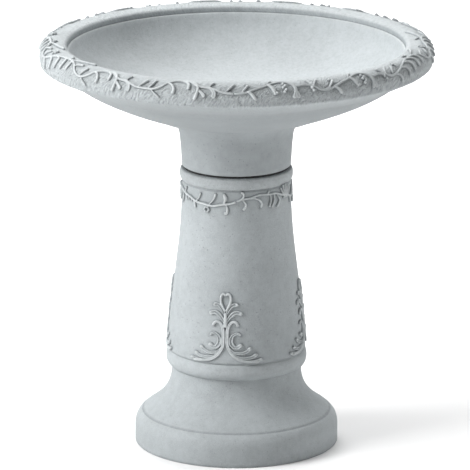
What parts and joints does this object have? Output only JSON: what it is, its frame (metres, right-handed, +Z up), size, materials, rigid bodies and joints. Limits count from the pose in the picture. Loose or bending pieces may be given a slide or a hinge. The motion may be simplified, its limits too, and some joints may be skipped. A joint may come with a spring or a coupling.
{
  "type": "bird bath",
  "caption": "Round two-part bird bath: a shallow bowl with a rolled vine-relief rim and flared neck on a tapered, beaded pedestal with leaf scrolls and a round plinth.",
  "frame": {"origin": "centre of the foot, on the ground", "axes": "+Z up along the axis of the pedestal and basin; -Y is the front, which the picture shows; the front leaf scroll is turned 9.3 degrees to the viewer's left"},
  "size_m": [0.5102, 0.5115, 0.5397],
  "materials": {
    "basin_stone": "matt pale blue-grey stone, smooth bowl, hammered rim band",
    "relief_stone": "matt blue-grey stone with whitened high points",
    "pedestal_stone": "matt, fine-grained blue-grey stone",
    "base_stone": "rough, unfinished grey stone",
    "rubber": "matt black rubber"
  },
  "bodies": {
    "pedestal": {"pedestal": "pedestal_stone", "base_plate": "base_stone", "collar_vine": "relief_stone", "scroll_1": "relief_stone", "scroll_2": "relief_stone", "scroll_3": "relief_stone", "scroll_4": "relief_stone"},
    "seat_ring": {"seat_ring": "rubber"},
    "basin": {"basin": "basin_stone", "rim_vine": "relief_stone"},
    "filler_plug": {"filler_plug": "rubber"}
  },
  "joints": [
    {"name": "basin_turn", "type": "hinge", "parent": "pedestal", "child": "seat_ring", "pos_m": [0, 0, 0.371], "axis": [0, 0, 1], "continuous": true},
    {"name": "basin_lift", "type": "slide", "parent": "seat_ring", "child": "basin", "axis": [0, 0, 1], "range_m": [0, 0.06]},
    {"name": "plug_pull", "type": "slide", "parent": "pedestal", "child": "filler_plug", "axis": [0, 0, -1], "range_m": [0, 0.03]}
  ]
}
